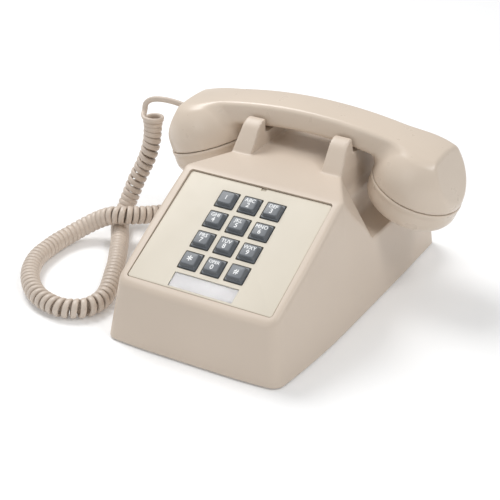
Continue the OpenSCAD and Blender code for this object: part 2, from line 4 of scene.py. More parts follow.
import bmesh
import bpy
import numpy as np
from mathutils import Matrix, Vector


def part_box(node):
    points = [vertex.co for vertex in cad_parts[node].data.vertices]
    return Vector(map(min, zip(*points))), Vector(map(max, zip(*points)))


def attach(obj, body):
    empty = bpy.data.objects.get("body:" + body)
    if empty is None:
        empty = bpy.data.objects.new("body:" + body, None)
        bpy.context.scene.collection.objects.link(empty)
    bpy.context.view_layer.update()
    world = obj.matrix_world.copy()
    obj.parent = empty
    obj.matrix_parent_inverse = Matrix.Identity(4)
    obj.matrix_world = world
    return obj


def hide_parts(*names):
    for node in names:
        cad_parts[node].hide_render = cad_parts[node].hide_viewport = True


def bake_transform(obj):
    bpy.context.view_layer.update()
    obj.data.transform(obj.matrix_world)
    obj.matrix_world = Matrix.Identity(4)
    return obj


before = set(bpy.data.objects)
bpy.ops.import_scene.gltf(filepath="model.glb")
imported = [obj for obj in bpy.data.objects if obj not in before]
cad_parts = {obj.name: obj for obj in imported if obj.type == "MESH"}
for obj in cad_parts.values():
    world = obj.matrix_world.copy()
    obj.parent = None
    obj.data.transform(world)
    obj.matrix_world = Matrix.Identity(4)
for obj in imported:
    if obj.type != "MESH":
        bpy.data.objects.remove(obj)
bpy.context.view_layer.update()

import openvdb
from mathutils import Matrix, Vector

scene = bpy.context.scene
MM = 0.001  # the shapes below are worked out in millimetres, in the CAD frame

# ---- Camera --------------------------------------------------------------------------------

AZIMUTH, ELEVATION = 29.93, 28.6  # degrees
TARGET = Vector((0.01122, -0.05716, 0.05939))
DISTANCE = 0.9357
LENS, SENSOR = 102.95, 36  # millimetres


def place_camera():
    around, up = math.radians(AZIMUTH), math.radians(ELEVATION)
    back = Vector((math.sin(around) * math.cos(up), -math.cos(around) * math.cos(up), math.sin(up)))
    data = bpy.data.cameras.new("view")
    data.lens, data.sensor_width = LENS, SENSOR
    camera = bpy.data.objects.new("view", data)
    camera.location = TARGET + back * DISTANCE
    camera.rotation_euler = back.to_track_quat("Z", "Y").to_euler()
    scene.collection.objects.link(camera)
    scene.camera = camera


place_camera()

# ---- Driving dimensions, as in the CAD source unless a comment says otherwise ------------------

DIAL_SLOPE = math.radians(27.2)
DIAL_ORIGIN = (0, -105, 45.6)
PLATE_W, PLATE_L, PLATE_T = 107.8, 92, 2.4
GROOVE = 0.5
KEY_PITCH, KEY_W, KEY_TOP = 17.5, 12.7, 10.2
KEY_ROW = 75.7
KEY_GAP = 0.9  # wider than in the CAD, so that it shows dark
CARD_LOW, CARD_HIGH = (-23.4, 1.8), (24.2, 12.7)
NOTCH_FRONT, NOTCH_REAR = 10.5, 87.5
CRADLE_X, NECK_X, EAR_IN = 42.5, 45.2, 27
LEDGE_Z, SADDLE_Z = 76.4, 101
SHOULDER_Z, EAR_Z = 91.4, 111.2  # 0.1 and 0.8 lower than in the CAD
EAR_GAP, EAR_LEAN = 1.8, 2.5  # the CAD's ears stand 1 from the handle, and upright
BUTTON_X = 35
FLOOR_Z = 1.5
WALL = 3
HAND_X, HAND_Y = 1.2, 49
HANDLE_W, HANDLE_TOP, HANDLE_LOW = 31, 122, 105.3
TOP_ARC, UNDER_ARC = 350, 260
END_X, END_SLOPE = 99.8, math.radians(69.5)
CAP_X, CAP_Z, CAP_R, CAP_H = 80.8, 79.1, 32.4, 19.5
CAP_TILT = math.radians(19.5)
BELL_BASE = 6

# ---- Smooth solids from distance fields -------------------------------------------------------


def both(a, b, radius):
    """What is inside a and b, with the edge between them rounded."""
    corner = np.hypot(np.maximum(a + radius, 0), np.maximum(b + radius, 0))
    return np.minimum(-radius, np.maximum(a, b)) + corner


def either(a, b, radius):
    """What is inside a or b, with a fillet between them."""
    return -both(-a, -b, radius)


def plane(p, point, normal):
    """Distance in front of a plane; what lies behind it is inside."""
    n = np.array(normal, float) / np.linalg.norm(normal)
    return (p - np.array(point, float)) @ n


def slab(value, low, high):
    return np.maximum(low - value, value - high)


def block(p, low, high):
    return np.maximum.reduce([slab(p[..., k], low[k], high[k]) for k in range(3)])


def pillar(p, centre, radius, low, high):
    around = np.hypot(p[..., 0] - centre[0], p[..., 1] - centre[1]) - radius
    return np.maximum(around, slab(p[..., 2], low, high))


def to_dial(p):
    """Points in the faceplate's own axes: across, up the slope, and out of it."""
    q = p - np.array(DIAL_ORIGIN, float)
    c, s = math.cos(DIAL_SLOPE), math.sin(DIAL_SLOPE)
    return np.stack([q[..., 0], q[..., 1] * c + q[..., 2] * s, q[..., 2] * c - q[..., 1] * s], -1)


def field_mesh(name, field, low, high, voxel):
    """A closed quad mesh of the zero surface of field, with its points moved onto that surface."""
    axes = [np.arange(low[k], high[k] + voxel, voxel) for k in range(3)]
    points = np.stack(np.meshgrid(*axes, indexing="ij"), -1)
    values = np.stack([field(sheet) for sheet in points]).astype(np.float32)
    grid = openvdb.FloatGrid(background=float(values.max()))
    grid.copyFromArray(values)
    co, triangles, quads = grid.convertToPolygons(isovalue=0.0, adaptivity=0.0)
    co = np.array(co, float) * voxel + np.array(low, float)
    step = 0.05
    offsets = np.eye(3) * step
    for _ in range(3):
        slope = np.stack([(field(co + o) - field(co - o)) / (2 * step) for o in offsets], -1)
        length = np.maximum((slope**2).sum(-1), 0.2)
        move = -(field(co) / length)[:, None] * slope
        co += np.clip(move, -voxel / 2, voxel / 2)
    faces = [list(map(int, f)) for f in np.array(quads)] + [list(map(int, f)) for f in np.array(triangles)]
    first = co[faces[0]]
    normal = np.cross(first[1] - first[0], first[2] - first[1])
    if (slope[faces[0][0]] @ normal) < 0:
        faces = [f[::-1] for f in faces]
    return make_mesh(name, co, faces)


def make_mesh(name, points, faces):
    """A new object in the scene, from points in millimetres."""
    mesh = bpy.data.meshes.new(name)
    mesh.from_pydata([tuple(c) for c in np.asarray(points, float) * MM], [], faces)
    mesh.validate()
    obj = bpy.data.objects.new(name, mesh)
    scene.collection.objects.link(obj)
    return obj


# ---- Mesh helpers ------------------------------------------------------------------------------


def smooth(obj, angle=32):
    obj.data.shade_smooth()
    obj.data.set_sharp_from_angle(angle=math.radians(angle))
    return obj


def bake_modifiers(obj):
    """Puts the result of obj's modifiers into its mesh."""
    graph = bpy.context.evaluated_depsgraph_get()
    made = bpy.data.meshes.new_from_object(obj.evaluated_get(graph))
    obj.modifiers.clear()
    obj.data = made


def carve(obj, cutters, how="DIFFERENCE"):
    """Cuts the cutters out of obj, or joins them to it, and deletes them."""
    for cutter in cutters:
        step = obj.modifiers.new("carve", "BOOLEAN")
        step.object, step.operation, step.solver = cutter, how, "MANIFOLD"
    bake_modifiers(obj)
    for cutter in cutters:
        bpy.data.objects.remove(cutter)
    return obj


def rounded_outline(low, high, radius, steps=5):
    """The points of a rectangle with round corners, counter-clockwise."""
    corners = [(high[0] - radius, high[1] - radius), (low[0] + radius, high[1] - radius),
               (low[0] + radius, low[1] + radius), (high[0] - radius, low[1] + radius)]
    out = []
    for k, (x, y) in enumerate(corners):
        for i in range(steps + 1):
            a = math.pi / 2 * (k + i / steps)
            out.append((x + radius * math.cos(a), y + radius * math.sin(a)))
    return out


def loft(name, rings, place=None):
    """A closed solid through rings of points with equal counts, capped at both ends."""
    count = len(rings[0])
    points = [p for ring in rings for p in ring]
    faces = [list(range(count))[::-1], [len(points) - count + i for i in range(count)]]
    for r in range(len(rings) - 1):
        for i in range(count):
            a, b = r * count + i, r * count + (i + 1) % count
            faces.append([a, b, b + count, a + count])
    obj = make_mesh(name, points, faces)
    if place is not None:
        obj.data.transform(place)
    return obj


def prism(name, low, high, radius, place=None, edge=0.0):
    """An upright block with round corners, and softened top and bottom edges if edge is set."""
    def ring(z, inset):
        shape = rounded_outline((low[0] + inset, low[1] + inset), (high[0] - inset, high[1] - inset),
                                max(radius - inset, 0.05))
        return [(x, y, z) for x, y in shape]
    if not edge:
        return loft(name, [ring(low[2], 0), ring(high[2], 0)], place)
    arc = [math.pi / 2 * k / 3 for k in range(4)]
    lower = [ring(low[2] + edge * (1 - math.sin(a)), edge * (1 - math.cos(a))) for a in arc[::-1]]
    upper = [ring(high[2] - edge * (1 - math.sin(a)), edge * (1 - math.cos(a))) for a in arc]
    return loft(name, lower + upper, place)


def turned(name, profile, steps=96, place=None):
    """A solid of revolution about Z; the profile starts and ends on the axis."""
    points = [(0, 0, profile[0][1])]
    for r, z in profile[1:-1]:
        points += [(r * math.cos(2 * math.pi * k / steps), r * math.sin(2 * math.pi * k / steps), z)
                   for k in range(steps)]
    points.append((0, 0, profile[-1][1]))
    last = len(points) - 1
    rows = len(profile) - 2
    faces = []
    for k in range(steps):
        n = (k + 1) % steps
        faces.append([0, 1 + n, 1 + k])
        faces.append([last, 1 + (rows - 1) * steps + k, 1 + (rows - 1) * steps + n])
        for r in range(rows - 1):
            a = 1 + r * steps
            faces.append([a + k, a + n, a + steps + n, a + steps + k])
    obj = make_mesh(name, points, faces)
    if place is not None:
        obj.data.transform(place)
    return obj


def arc(centre, radii, start, end, steps):
    """Points on an ellipse's arc, in degrees."""
    angles = [math.radians(start + (end - start) * k / steps) for k in range(steps + 1)]
    return [(centre[0] + radii[0] * math.cos(a), centre[1] + radii[1] * math.sin(a)) for a in angles]


def at(x, y, z):
    return Matrix.Translation((x * MM, y * MM, z * MM))


DIAL = at(*DIAL_ORIGIN) @ Matrix.Rotation(DIAL_SLOPE, 4, "X")

# ---- Materials -----------------------------------------------------------------------------------


def new_material(name, colour, roughness, **sockets):
    material = bpy.data.materials.new(name)
    material.use_nodes = True
    shader = material.node_tree.nodes["Principled BSDF"]
    shader.inputs["Base Color"].default_value = (*colour, 1)
    shader.inputs["Roughness"].default_value = roughness
    for key, value in sockets.items():
        shader.inputs[key.replace("_", " ")].default_value = value
    return material, material.node_tree, shader


def noise(tree, scale, detail=3.0):
    place = tree.nodes.new("ShaderNodeTexCoord")
    node = tree.nodes.new("ShaderNodeTexNoise")
    node.inputs["Scale"].default_value = scale
    node.inputs["Detail"].default_value = detail
    tree.links.new(place.outputs["Object"], node.inputs["Vector"])
    return node


def spread(tree, source, low, high):
    node = tree.nodes.new("ShaderNodeMapRange")
    node.inputs["From Min"].default_value = 0.3
    node.inputs["From Max"].default_value = 0.7
    node.inputs["To Min"].default_value = low
    node.inputs["To Max"].default_value = high
    tree.links.new(source, node.inputs["Value"])
    return node.outputs["Result"]


def mottle(tree, shader, source, colour, change):
    """Varies the base colour a little, darker and lighter, by source."""
    ramp = tree.nodes.new("ShaderNodeValToRGB")
    ramp.color_ramp.elements[0].position = 0.3
    ramp.color_ramp.elements[1].position = 0.7
    ramp.color_ramp.elements[0].color = (*[c * (1 - change) for c in colour], 1)
    ramp.color_ramp.elements[1].color = (*[min(1, c * (1 + change)) for c in colour], 1)
    tree.links.new(source, ramp.inputs["Fac"])
    tree.links.new(ramp.outputs["Color"], shader.inputs["Base Color"])
    return ramp


def bump(tree, shader, source, strength, distance):
    node = tree.nodes.new("ShaderNodeBump")
    node.inputs["Strength"].default_value = strength
    node.inputs["Distance"].default_value = distance
    tree.links.new(source, node.inputs["Height"])
    tree.links.new(node.outputs["Normal"], shader.inputs["Normal"])


def plastic(name, colour, roughness, grain=900, depth=0.00004, change=0.025, polish=0.08, **sockets):
    """Moulded plastic: faint flow marks in the colour, uneven polish, and a fine skin."""
    material, tree, shader = new_material(name, colour, roughness, **sockets)
    flow = noise(tree, 14)
    skin = noise(tree, grain, 2)
    mottle(tree, shader, flow.outputs["Fac"], colour, change)
    rub = noise(tree, 60, 5)
    tree.links.new(spread(tree, rub.outputs["Fac"], roughness - polish / 2, roughness + polish / 2),
                   shader.inputs["Roughness"])
    bump(tree, shader, skin.outputs["Fac"], 0.35, depth)
    return material


def metal(name, colour, roughness, grain=(1, 1, 30), change=0.08):
    """Rolled or drawn metal: streaks along one way, and small stains."""
    material, tree, shader = new_material(name, colour, roughness, Metallic=1.0)
    place = tree.nodes.new("ShaderNodeTexCoord")
    stretch = tree.nodes.new("ShaderNodeMapping")
    stretch.inputs["Scale"].default_value = grain
    streak = tree.nodes.new("ShaderNodeTexNoise")
    streak.inputs["Scale"].default_value = 90
    tree.links.new(place.outputs["Object"], stretch.inputs["Vector"])
    tree.links.new(stretch.outputs["Vector"], streak.inputs["Vector"])
    mottle(tree, shader, streak.outputs["Fac"], colour, change)
    tree.links.new(spread(tree, streak.outputs["Fac"], roughness - 0.08, roughness + 0.1),
                   shader.inputs["Roughness"])
    bump(tree, shader, streak.outputs["Fac"], 0.2, 0.00003)
    return material


ASH = (0.66, 0.56, 0.465)
GLOSSY_ASH = (0.71, 0.605, 0.5)
PLATE_ASH = (0.71, 0.65, 0.545)
GREY = (0.135, 0.148, 0.165)

MATERIALS = {
    "housing": plastic("housing_plastic", ASH, 0.42, Specular_IOR_Level=0.45),
    "handset": plastic("handset_plastic", GLOSSY_ASH, 0.3, depth=0.00002, Specular_IOR_Level=0.5),
    "faceplate": plastic("faceplate_plastic", PLATE_ASH, 0.5, grain=1400, depth=0.00006),
    "keys": plastic("key_plastic", GREY, 0.38, grain=1500, depth=0.00003, change=0.05),
    "legend": plastic("legend_plastic", (0.86, 0.87, 0.87), 0.45, grain=1500, depth=0.00001),
    "card": plastic("card_paper", (0.88, 0.86, 0.865), 0.8, grain=2500, depth=0.00005, change=0.02),
    "button_plastic": plastic("nylon", (0.74, 0.7, 0.6), 0.45, Subsurface_Weight=0.1),
    "rubber": plastic("foot_rubber", (0.035, 0.035, 0.037), 0.78, grain=700, depth=0.0001),
    "black_plastic": plastic("black_plastic", (0.03, 0.03, 0.032), 0.45),
    "circuit_board": plastic("board_green", (0.03, 0.16, 0.06), 0.4, grain=400, change=0.2),
    "cord": plastic("cord_vinyl", (0.63, 0.54, 0.46), 0.38, grain=1200, depth=0.00003),
    "zinc_steel": metal("zinc_steel", (0.56, 0.58, 0.6), 0.36),
    "spring_steel": metal("spring_steel", (0.5, 0.5, 0.52), 0.28),
    "screws": metal("screw_steel", (0.58, 0.58, 0.58), 0.3),
    "gong_brass": metal("gong_brass", (0.72, 0.52, 0.24), 0.24, grain=(12, 12, 1)),
    "copper": metal("copper_winding", (0.5, 0.2, 0.08), 0.35, grain=(1, 60, 60), change=0.3),
    "magnet": plastic("magnet_paint", (0.05, 0.05, 0.055), 0.55, grain=500, depth=0.00008),
}


def clear_plastic():
    material, tree, shader = new_material("clear_plastic", (0.98, 0.98, 0.98), 0.06, IOR=1.2,
                                          Transmission_Weight=1.0)
    bump(tree, shader, noise(tree, 60, 1).outputs["Fac"], 0.1, 0.00001)
    return material


MATERIALS["clear_plastic"] = clear_plastic()


def finish_piece(obj, body, slot, *nodes, material=None):
    """Gives a piece its material, chosen by slot unless material is given, hides the CAD nodes it stands
    for, and attaches it to its body.
    """
    obj.data.materials.clear()
    obj.data.materials.append(MATERIALS[material or slot])
    if nodes:
        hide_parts(*nodes)
    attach(obj, body)
    return obj


# ---- Cord ------------------------------------------------------------------------------------------

# The middle line of the coiled stretch, and the plain ends, in millimetres as in the CAD source.
# Each plain end leaves out the CAD's points nearest the coil, where bridge() leads into the turns.
COIL_ROUTE = [
    (-130, 44, 87), (-130.5, 44, 78), (-131, 43, 68), (-133, 41, 57), (-137, 39, 46),
    (-141, 36, 36), (-144, 33, 26), (-146, 28, 16), (-146, 22, 9.4), (-143, 14, 7.3),
    (-138, 6, 7.1), (-131, -4, 7.1), (-124, -15, 7.1), (-117, -27, 7.1), (-110, -39, 7.1),
    (-104, -51, 7.1), (-98, -63, 7.1), (-93, -74, 7.1), (-90, -84, 7.1), (-90, -93, 7.1),
    (-93, -101, 7.1), (-99, -106, 7.1), (-108, -109, 7.1), (-118, -108, 7.1), (-128, -105, 7.1),
    (-138, -99, 7.1), (-147, -91, 7.1), (-155, -81, 7.1), (-161, -70, 7.1), (-165, -58, 7.1),
    (-166, -46, 7.1), (-166, -34, 7.3), (-164, -24, 8.1), (-160, -14, 10.4), (-154, -7, 14),
    (-146, -3, 18.4), (-138, -1, 21.6), (-130, 2, 22.2), (-123, 8, 21.6), (-117, 15, 20.4),
    (-112, 23, 19)]
UPPER_TAIL = [
    (-104.6, 49, 98), (-109, 48.8, 98.8), (-115.6, 48, 99.8), (-123, 46.4, 100.4),
    (-129.4, 45, 99.8), (-134, 44.2, 97.6), (-136.6, 44, 94.2), (-137, 44, 91.4)]
LOWER_TAIL = [
    (-105, 34, 17.4), (-100, 41, 16.6), (-95, 47, 15.8), (-90, 52.5, 15), (-85, 57, 14.4),
    (-80.5, 60.3, 14.1), (-76.5, 61.8, 14), (-71.9, 62, 14)]
STRAND_W, STRAND_T = 4.2, 2.8  # the cord is flat
COIL_R = 5.5  # middle of the strand, from the coil's own middle line
PITCH_AT = [0, 16, 28, 60, 72, 150, 190, 260, 290, 400, 470]  # along the coil
PITCH = [4.2, 4.4, 5.5, 5.5, 4.4, 4.3, 5.2, 5.4, 4.4, 4.4, 5.4]
POINT_STEP = 2.0  # a turn is 35 mm of strand, so it has 17 points


def through(points, step):
    """Evenly spaced points on a smooth curve through the given ones."""
    p = np.array(points, float)
    t = np.concatenate([[0], np.cumsum(np.linalg.norm(np.diff(p, axis=0), axis=1))])
    slope = np.gradient(p, t, axis=0)
    out = []
    for k in range(len(p) - 1):
        h = t[k + 1] - t[k]
        s = np.linspace(0, 1, max(4, int(h / 0.1)), endpoint=k == len(p) - 2)[:, None]
        out.append((2 * s**3 - 3 * s**2 + 1) * p[k] + (s**3 - 2 * s**2 + s) * h * slope[k]
                   + (3 * s**2 - 2 * s**3) * p[k + 1] + (s**3 - s**2) * h * slope[k + 1])
    return evenly(np.concatenate(out), step)


def evenly(line, step):
    run = np.concatenate([[0], np.cumsum(np.linalg.norm(np.diff(line, axis=0), axis=1))])
    marks = np.linspace(0, run[-1], max(2, round(run[-1] / step) + 1))
    return np.stack([np.interp(marks, run, line[:, k]) for k in range(3)], -1)


def tangents(line):
    t = np.gradient(line, axis=0)
    return t / np.linalg.norm(t, axis=1)[:, None]


def carried(first, along):
    """A crosswise direction carried along a line without twisting about it."""
    out = [first - along[0] * (first @ along[0])]
    for t in along[1:]:
        v = out[-1] - t * (out[-1] @ t)
        out.append(v / np.linalg.norm(v))
    out[0] = out[0] / np.linalg.norm(out[0])
    return np.array(out)


def bridge(before, after):
    """Points that lead smoothly from the end of one line to the start of the next."""
    p, q = before[-1], after[0]
    reach = np.linalg.norm(q - p)
    leave, arrive = tangents(before)[-1] * reach * 1.1, tangents(after)[0] * reach * 1.1
    s = np.linspace(0, 1, 24)[1:-1, None]
    return ((2 * s**3 - 3 * s**2 + 1) * p + (s**3 - 2 * s**2 + s) * leave
            + (3 * s**2 - 2 * s**3) * q + (s**3 - s**2) * arrive)


def curly_line():
    """The strand's own middle line, and the coil's direction beside each of its points."""
    fine = 0.1
    axis = through(COIL_ROUTE, fine)
    along = tangents(axis)
    left = carried(np.array([-1.0, 0, 0]), along)
    front = np.cross(left, along)
    run = np.arange(len(axis)) * fine
    turn = np.cumsum(2 * math.pi * fine / np.interp(run, PITCH_AT, PITCH))
    radius = COIL_R + 3 * np.exp(-run / 3)
    coil = axis + radius[:, None] * (np.cos(turn)[:, None] * left + np.sin(turn)[:, None] * front)
    first = int(0.2 * PITCH[0] / fine)
    upper, lower = through(UPPER_TAIL, 0.5), through(LOWER_TAIL, 0.5)
    parts = [upper, bridge(upper, coil[first:]), coil[first:], bridge(coil, lower), lower]
    wide = np.concatenate([np.repeat(along[:1], len(upper) + len(parts[1]), 0), along[first:],
                           np.repeat(along[-1:], len(parts[3]) + len(lower), 0)])
    line = np.concatenate(parts)
    gone = np.concatenate([[0], np.cumsum(np.linalg.norm(np.diff(line, axis=0), axis=1))])
    marks = np.linspace(0, gone[-1], round(gone[-1] / POINT_STEP) + 1)
    return [np.stack([np.interp(marks, gone, v[:, k]) for k in range(3)], -1) for v in (line, wide)]


def build_cord():
    line, wide = curly_line()
    t = tangents(line)
    wide = wide - t * (wide * t).sum(1)[:, None]
    wide /= np.maximum(np.linalg.norm(wide, axis=1), 1e-6)[:, None]
    for k in range(1, len(wide)):  # no sudden turn of the flat side
        v = 0.75 * wide[k - 1] + 0.25 * wide[k]
        v -= t[k] * (v @ t[k])
        wide[k] = v / np.linalg.norm(v)
    flat = np.cross(t, wide)
    sides = 12
    points, faces = [], []
    for k in range(sides):
        a = 2 * math.pi * k / sides
        x = STRAND_W / 2 * np.sign(math.cos(a)) * abs(math.cos(a)) ** 0.7
        y = STRAND_T / 2 * np.sign(math.sin(a)) * abs(math.sin(a)) ** 0.7
        points.append(line + x * wide + y * flat)
    rings = np.stack(points, 1)
    count = len(line)
    for r in range(count - 1):
        for k in range(sides):
            n = (k + 1) % sides
            faces.append([r * sides + k, r * sides + n, (r + 1) * sides + n, (r + 1) * sides + k])
    faces.append(list(range(sides))[::-1])
    faces.append([(count - 1) * sides + k for k in range(sides)])
    cord = make_mesh("handset_cord", rings.reshape(-1, 3), faces)
    cord.data.shade_smooth()
    cord.data.materials.append(MATERIALS["cord"])
    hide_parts("cord_coil", "cord_tail_upper", "cord_tail_lower")
    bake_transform(cord)


build_cord()

# ---- Housing -------------------------------------------------------------------------------------


def cradle(p):
    """The ears that stop the handset sliding, and the saddles it rests on."""
    x, y, z = abs(p[..., 0]), p[..., 1], p[..., 2]
    reach = abs(y - HAND_Y)
    inner = HANDLE_W / 2 + EAR_GAP
    slope = plane(np.stack([reach, z], -1), (38.5, SHOULDER_Z), (20.5, 14.5))
    ear = both(both(slope, z - EAR_Z, 5), inner - reach, 1.5)
    ear = np.maximum(ear, SHOULDER_Z - 5 - z)
    saddle = both(z - SADDLE_Z, reach - 24, 1)
    lean = EAR_LEAN * np.clip((z - SHOULDER_Z) / (EAR_Z - SHOULDER_Z), 0, 1)
    across = slab(x, EAR_IN, CRADLE_X - lean)
    return both(np.minimum(ear, saddle), across, 1.2)


def housing_field(p):
    x, y, z = abs(p[..., 0]), p[..., 1], p[..., 2]
    bow = np.clip((y + 118) / 90, 0, 1)
    half = 65 + 6.2 * (1 - (1 - bow) ** 2) - np.interp(y, [60, 118], [0, 0.9])
    lean = np.interp(y, [-112, -22, 11], [0.161, 0.122, 0.07])
    side = (x - half + lean * z) * 0.99
    front = (-117.9 + 0.154 * (z - FLOOR_Z) + 0.9 * (x / 50) ** 4 - y) * 0.988
    dial = plane(p, (0, -111.6, 42.5), (0, -math.sin(0.487), math.cos(0.487)))
    top = np.maximum(plane(p, (0, 10.4, SHOULDER_Z), (0, -0.04, 1)), z - SHOULDER_Z)
    rear = both(plane(p, (0, 118, FLOOR_Z), (0, 0.99, 0.126)),
                plane(p, (0, 88.5, SHOULDER_Z), (0, 0.92, 0.39)), 4)
    solid = both(both(side, front, 6), dial, 2.5)
    solid = both(both(solid, rear, 7), top, 1.6)
    ledge = plane(np.stack([x, z], -1), (CRADLE_X, LEDGE_Z + 1.1), (5, 2.7))
    neck = np.minimum(x - CRADLE_X, both(x - NECK_X, ledge, 0.8))
    floor = 55 - (x - 46) * 0.18
    notch = both(both(slab(y, NOTCH_FRONT, NOTCH_REAR), -neck, 3), floor - z, 3)
    solid = both(solid, -notch, 1.3)
    mirrored = np.stack([x, y, z], -1)
    chamfer = plane(mirrored, (68, 10.8, 51.2), (0.768, 0.411, 0.492))
    solid = both(solid, np.minimum(chamfer, NOTCH_FRONT - y), 1.2)
    chamfer = plane(mirrored, (68, 88.5, 51), (0.763, 0.433, 0.48))
    solid = both(solid, np.minimum(chamfer, y - NOTCH_REAR), 1.2)
    solid = np.minimum(solid, cradle(p))
    scoop = both(np.hypot(y - 90, z - 96) - 20, x - 26, 3)
    return both(solid, -scoop, 1.5)


def housing_hollow(p):
    """The space inside the housing, around the ring, sleeves and bosses that it carries."""
    space = housing_field(p) + WALL
    ring = block(to_dial(p), (-57, -4, -5), (57, 95.5, 0))
    mirrored = np.stack([abs(p[..., 0]), p[..., 1], p[..., 2]], -1)
    sleeve = pillar(mirrored, (BUTTON_X, HAND_Y), 6.3, LEDGE_Z - 2.4, 120)
    bosses = [pillar(mirrored, place, 4.5, 3.7, 44) for place in ((57, -45), (58, 96))]
    return np.maximum(space, -np.minimum.reduce([ring, sleeve, *bosses]))


def build_housing():
    outer = field_mesh("housing_body", lambda p: np.maximum(housing_field(p), -p[..., 2] - 1),
                       (-74, -121, -4), (74, 121, 115), 1.48)
    inner = field_mesh("hollow", housing_hollow, (-74, -121, -6), (74, 121, 112), 2.0)
    carve(outer, [inner])
    half = PLATE_W / 2 + GROOVE
    cutters = [
        prism("below", (-90, -130, -12), (90, 130, FLOOR_Z), 1),
        prism("pocket", (-half, -GROOVE, -PLATE_T), (half, PLATE_L + GROOVE, 14), 2.4, DIAL),
        prism("window", (-40, 6, -12), (40, PLATE_L - 5, 2), 2, DIAL),
        prism("cord_way", (-82, 55, 7), (-60, 69, 21), 0.5),
        prism("line_way", (21, 108, 5), (39, 130, 23), 0.5)]
    for s in (-1, 1):
        hole = [(0, 55), (4.7, 55), (4.7, SADDLE_Z - 0.6), (5.3, SADDLE_Z), (5.3, 120), (0, 120)]
        cutters.append(turned("button_way", hole, 48, at(s * BUTTON_X, HAND_Y, 0)))
    carve(outer, cutters)
    return finish_piece(smooth(outer), "base", "housing", "housing")


build_housing()

# ---- Faceplate and keys --------------------------------------------------------------------------

LEGENDS = ["1", "2", "3", "4", "5", "6", "7", "8", "9", "*", "0", "#"]
LETTERS = ["", "ABC", "DEF", "GHI", "JKL", "MNO", "PRS", "TUV", "WXY", "", "OPER", ""]
KEY_NODES = ["key_1", "key_2", "key_3", "key_4", "key_5", "key_6",
             "key_7", "key_8", "key_9", "key_star", "key_0", "key_hash"]
KEY_RISE = 3.1


def key_place(i):
    return ((i % 3) - 1) * KEY_PITCH, KEY_ROW - (i // 3) * KEY_PITCH


def build_faceplate():
    low, high = (-PLATE_W / 2, 0, -PLATE_T + 0.05), (PLATE_W / 2, PLATE_L, 0)
    plate = prism("dial_plate", low, high, 2, None, 0.45)
    cutters = []
    opening = KEY_W / 2 + KEY_GAP
    for i in range(12):
        u, v = key_place(i)
        low, high = (u - opening, v - opening, -5), (u + opening, v + opening, 5)
        cutters.append(prism("key_way", low, high, 0.9))
    cutters.append(prism("card_way", (-23.6, 1.6, -1.5), (24.4, 12.9, 3), 0.5))
    cutters.append(prism("pry_notch", (0.9, PLATE_L - 2.3, -1), (4.9, PLATE_L + 3, 3), 0.4))
    carve(plate, cutters)
    plate.data.transform(DIAL)
    finish_piece(smooth(plate), "base", "faceplate", "faceplate")
    card = prism("number_card", (*CARD_LOW, -1.45), (*CARD_HIGH, -1.1), 0.5, DIAL, 0.1)
    finish_piece(smooth(card), "base", "card", "designation_card")
    cover = prism("card_cover", (*CARD_LOW, -1.05), (*CARD_HIGH, -0.15), 0.5, DIAL, 0.2)
    finish_piece(smooth(cover), "base", "clear_plastic", "card_window")


def key_shape(name):
    """One key without its stem: flange, square skirt, and a tapered cap with soft edges."""
    def ring(half_u, half_v, n, radius, shift=0.0):
        shape = rounded_outline((-half_u, -half_v + shift), (half_u, half_v + shift), radius, 4)
        return [(u, v, n) for u, v in shape]
    skirt, cap_u, cap_v = KEY_W / 2, KEY_TOP / 2, 4.7
    rings = [ring(7.5, 7.5, -3.9, 0.5), ring(7.5, 7.5, -2.9, 0.5), ring(skirt, skirt, -2.8, 0.7),
             ring(skirt, skirt, 0.3, 0.7), ring(skirt - 0.1, skirt - 0.1, 0.52, 0.7),
             ring(skirt - 0.3, skirt - 0.3, 0.6, 0.7), ring(cap_u + 0.75, cap_v + 0.8, 0.6, 1)]
    for n, spread_by in ((0.9, 0.66), (1.5, 0.42), (2.1, 0.24), (2.5, 0.1)):
        rings.append(ring(cap_u + spread_by, cap_v + spread_by, n, 1.1))
    for a in (20, 45, 70, 90):
        inset = 0.6 * (1 - math.cos(math.radians(a)))
        rise = 2.5 + (KEY_RISE - 2.5) * math.sin(math.radians(a))
        rings.append(ring(cap_u - inset, cap_v - inset, rise, 1.1))
    return loft(name, rings)


def lettering(words, size, u, v, n):
    """Raised words as a mesh, centred on (u, v) on the slope."""
    data = bpy.data.curves.new("words", "FONT")
    data.body, data.size = words, size
    data.align_x, data.align_y = "CENTER", "CENTER"
    data.offset, data.extrude = size * 0.014, 0.04
    data.resolution_u = 3
    obj = bpy.data.objects.new("words", data)
    scene.collection.objects.link(obj)
    graph = bpy.context.evaluated_depsgraph_get()
    graph.update()
    mesh = bpy.data.meshes.new_from_object(obj.evaluated_get(graph))
    bpy.data.objects.remove(obj)
    mesh.transform(Matrix.Translation((u, v, n)))
    return mesh


def legend_piece(i):
    u, v = key_place(i)
    parts = []
    if LETTERS[i]:
        parts.append(lettering(LETTERS[i], 3.3 if i == 10 else 3.9, u, v + 2.2, KEY_RISE))
        parts.append(lettering(LEGENDS[i], 5.0, u, v - 1.7, KEY_RISE))
    else:
        low = {"*": -1.6, "#": 0.0, "1": 0.0}[LEGENDS[i]]
        size = {"*": 9.0, "#": 5.6, "1": 4.6}[LEGENDS[i]]
        parts.append(lettering(LEGENDS[i], size, u, v + low, KEY_RISE))
    shape = bmesh.new()
    for part in parts:
        shape.from_mesh(part)
    bmesh.ops.remove_doubles(shape, verts=shape.verts, dist=0.001)
    mesh = bpy.data.meshes.new("legend")
    shape.to_mesh(mesh)
    shape.free()
    mesh.transform(Matrix.Scale(MM, 4))
    mesh.transform(DIAL)
    obj = bpy.data.objects.new("legend_" + KEY_NODES[i][4:], mesh)
    scene.collection.objects.link(obj)
    return obj


